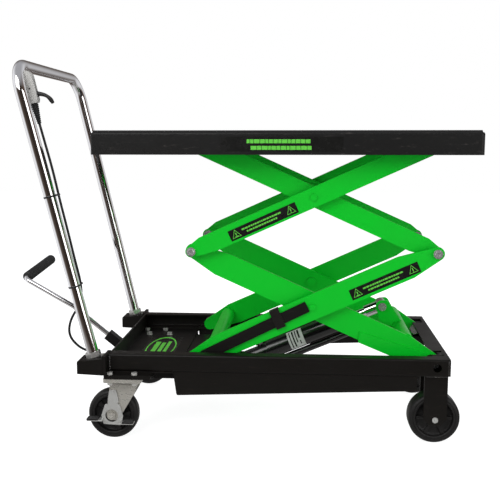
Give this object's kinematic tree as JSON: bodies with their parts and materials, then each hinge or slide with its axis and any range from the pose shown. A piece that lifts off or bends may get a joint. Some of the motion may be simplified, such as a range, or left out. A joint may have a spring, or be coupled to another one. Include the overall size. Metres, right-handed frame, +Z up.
{
  "type": "scissor lift table",
  "caption": "Wheeled scissor lift table: a flat deck on two stacked scissor stages, raised by a foot-pumped ram and lowered by a hand lever on the push handle.",
  "frame": {"origin": "centre of the overall box's base, on the floor", "axes": "+X from the push handle towards the fixed wheels, +Y towards the operator's left, +Z up"},
  "size_m": [1.1828, 0.5404, 0.923],
  "materials": {
    "black_plastic": "moulded black plastic",
    "bolt_zinc": "zinc plated",
    "bracket_paint": "light grey paint",
    "chrome": "polished chrome plate",
    "frame_paint": "satin near-black paint",
    "green_paint": "gloss green paint",
    "mat_rubber": "ribbed black rubber",
    "ram_paint": "gloss black paint",
    "roller_steel": "turned steel",
    "rubber": "black rubber",
    "steel": "machined steel",
    "table_paint": "satin black paint",
    "wheel_rubber": "moulded black rubber",
    "zinc": "bright zinc plate"
  },
  "bodies": {
    "base": {"side_rail_left": "frame_paint", "side_rail_right": "frame_paint", "skirt_plates": "frame_paint", "handle_end_plate": "frame_paint", "front_end_channel": "frame_paint", "floor_plate": "frame_paint", "handle_sockets": "frame_paint", "caster_pads": "frame_paint", "front_forks": "frame_paint", "front_axles": "steel", "arm_pivot_brackets": "frame_paint", "base_pivot_pins": "chrome", "ram_cross_shaft": "frame_paint", "pump_body": "ram_paint", "pump_tank": "ram_paint", "frame_bolts": "bolt_zinc", "pressure_pipe": "steel", "handle_tube": "chrome", "handle_nuts": "bolt_zinc", "release_bracket": "bracket_paint", "release_boot": "rubber", "release_cable": "rubber", "caster_top_plates": "zinc", "plunger_spring": "steel"},
    "lower_inner": {"lower_inner_frame": "green_paint", "ram_top_pin": "chrome", "lower_centre_pins": "green_paint", "mid_left_pins": "steel"},
    "lower_outer": {"lower_outer_frame": "green_paint", "mid_right_pins": "steel", "prop_clip": "black_plastic"},
    "upper_inner": {"upper_inner_frame": "green_paint", "upper_centre_pins": "green_paint"},
    "upper_outer": {"upper_outer_frame": "green_paint"},
    "table": {"table_deck": "table_paint", "table_mat": "mat_rubber", "table_underframe": "table_paint", "table_pivot_pins": "steel"},
    "ram_rod": {"ram_rod": "chrome"},
    "ram_barrel": {"ram_barrel": "ram_paint", "ram_gland": "steel"},
    "prop_bar": {"prop_bar": "frame_paint"},
    "foot_pedal": {"pedal_socket": "frame_paint", "pedal_rod": "chrome", "pedal_grip": "rubber"},
    "plunger": {"pump_plunger": "steel"},
    "release_lever": {"release_lever": "black_plastic"},
    "valve_lever": {"valve_lever": "zinc"},
    "base_roller_left": {"base_roller_left": "roller_steel"},
    "table_roller_left": {"table_roller_left": "roller_steel"},
    "caster_left": {"caster_fork_left": "zinc"},
    "caster_wheel_left": {"caster_wheel_left": "wheel_rubber"},
    "brake_left": {"brake_pedal_left": "zinc"},
    "front_wheel_left": {"front_wheel_left": "wheel_rubber"},
    "base_roller_right": {"base_roller_right": "roller_steel"},
    "table_roller_right": {"table_roller_right": "roller_steel"},
    "caster_right": {"caster_fork_right": "zinc"},
    "caster_wheel_right": {"caster_wheel_right": "wheel_rubber"},
    "brake_right": {"brake_pedal_right": "zinc"},
    "front_wheel_right": {"front_wheel_right": "wheel_rubber"}
  },
  "joints": [
    {"name": "scissor_lift", "type": "hinge", "parent": "base", "child": "lower_inner", "pos_m": [0.50336, 0, 0.195], "axis": [0, 1, 0], "range_deg": [-17.9, 31.6]},
    {"name": "lower_cross", "type": "hinge", "parent": "lower_inner", "child": "lower_outer", "pos_m": [0.20617, 0, 0.329], "axis": [0, 1, 0], "range_deg": [-63.4, 36]},
    {"name": "mid_right_hinge", "type": "hinge", "parent": "lower_outer", "child": "upper_inner", "pos_m": [0.50336, 0, 0.463], "axis": [0, 1, 0], "range_deg": [-36, 63.4]},
    {"name": "upper_cross", "type": "hinge", "parent": "upper_inner", "child": "upper_outer", "pos_m": [0.20617, 0, 0.59699], "axis": [0, 1, 0], "range_deg": [-63.4, 36]},
    {"name": "table_hinge", "type": "hinge", "parent": "upper_outer", "child": "table", "pos_m": [0.50336, 0, 0.73099], "axis": [0, 1, 0], "range_deg": [-18, 31.7]},
    {"name": "ram_pin_hinge", "type": "hinge", "parent": "lower_inner", "child": "ram_rod", "pos_m": [0.3914, 0, 0.29703], "axis": [0, 1, 0], "range_deg": [-34.9, 19.85]},
    {"name": "ram_slide", "type": "slide", "parent": "ram_rod", "child": "ram_barrel", "axis": [-0.9199, 0, -0.3922], "range_m": [-0.04349, 0.07638]},
    {"name": "base_roller_left_spin", "type": "hinge", "parent": "lower_outer", "child": "base_roller_left", "pos_m": [-0.09102, 0.22, 0.195], "axis": [0, 1, 0], "continuous": true},
    {"name": "table_roller_left_spin", "type": "hinge", "parent": "upper_inner", "child": "table_roller_left", "pos_m": [-0.09102, 0.22, 0.73099], "axis": [0, 1, 0], "continuous": true},
    {"name": "caster_left_swivel", "type": "hinge", "parent": "base", "child": "caster_left", "pos_m": [-0.25314, 0.218, 0.13], "axis": [0, 0, 1], "continuous": true},
    {"name": "caster_left_roll", "type": "hinge", "parent": "caster_left", "child": "caster_wheel_left", "pos_m": [-0.28364, 0.218, 0.0625], "axis": [0, 1, 0], "continuous": true},
    {"name": "brake_left_press", "type": "hinge", "parent": "caster_left", "child": "brake_left", "pos_m": [-0.27964, 0.218, 0.121], "axis": [0, 1, 0], "range_deg": [-4.5, 4.5]},
    {"name": "front_left_roll", "type": "hinge", "parent": "base", "child": "front_wheel_left", "pos_m": [0.50336, 0.19, 0.0625], "axis": [0, 1, 0], "continuous": true},
    {"name": "base_roller_right_spin", "type": "hinge", "parent": "lower_outer", "child": "base_roller_right", "pos_m": [-0.09102, -0.22, 0.195], "axis": [0, 1, 0], "continuous": true},
    {"name": "table_roller_right_spin", "type": "hinge", "parent": "upper_inner", "child": "table_roller_right", "pos_m": [-0.09102, -0.22, 0.73099], "axis": [0, 1, 0], "continuous": true},
    {"name": "caster_right_swivel", "type": "hinge", "parent": "base", "child": "caster_right", "pos_m": [-0.25314, -0.218, 0.13], "axis": [0, 0, 1], "continuous": true},
    {"name": "caster_right_roll", "type": "hinge", "parent": "caster_right", "child": "caster_wheel_right", "pos_m": [-0.28364, -0.218, 0.0625], "axis": [0, 1, 0], "continuous": true},
    {"name": "brake_right_press", "type": "hinge", "parent": "caster_right", "child": "brake_right", "pos_m": [-0.27964, -0.218, 0.121], "axis": [0, 1, 0], "range_deg": [-4.5, 4.5]},
    {"name": "front_right_roll", "type": "hinge", "parent": "base", "child": "front_wheel_right", "pos_m": [0.50336, -0.19, 0.0625], "axis": [0, 1, 0], "continuous": true},
    {"name": "foot_pedal_press", "type": "hinge", "parent": "base", "child": "foot_pedal", "pos_m": [-0.27064, 0, 0.14], "axis": [0, -1, 0], "range_deg": [0, 30], "stiffness_Nm_per_rad": 12, "springref_deg": -22.92},
    {"name": "plunger_stroke", "type": "slide", "parent": "base", "child": "plunger", "axis": [1, 0, 0], "range_m": [0, 0.0135], "deforming": ["plunger_spring"]},
    {"name": "release_squeeze", "type": "hinge", "parent": "base", "child": "release_lever", "pos_m": [-0.45911, -0.2299, 0.85184], "axis": [0, 1, 0], "range_deg": [0, 21], "stiffness_Nm_per_rad": 0.6, "springref_deg": -28.65},
    {"name": "valve_open", "type": "hinge", "parent": "base", "child": "valve_lever", "pos_m": [-0.18364, -0.04, 0.148], "axis": [0, 1, 0], "range_deg": [0, 10.7]},
    {"name": "prop_swing", "type": "hinge", "parent": "lower_outer", "child": "prop_bar", "pos_m": [-0.05838, -0.192, 0.20533], "axis": [0, 1, 0], "range_deg": [0, 20]}
  ],
  "couplings": [
    {"joint": "lower_cross", "follows": "scissor_lift", "ratio": -2},
    {"joint": "mid_right_hinge", "follows": "scissor_lift", "ratio": 2},
    {"joint": "upper_cross", "follows": "scissor_lift", "ratio": -2},
    {"joint": "table_hinge", "follows": "scissor_lift", "ratio": 1},
    {"joint": "ram_pin_hinge", "follows": "scissor_lift", "ratio": -1.098},
    {"joint": "ram_slide", "follows": "scissor_lift", "m_per_rad": 0.13759},
    {"joint": "plunger_stroke", "follows": "foot_pedal_press", "m_per_rad": 0.025},
    {"joint": "valve_open", "follows": "release_squeeze", "ratio": 0.5}
  ]
}
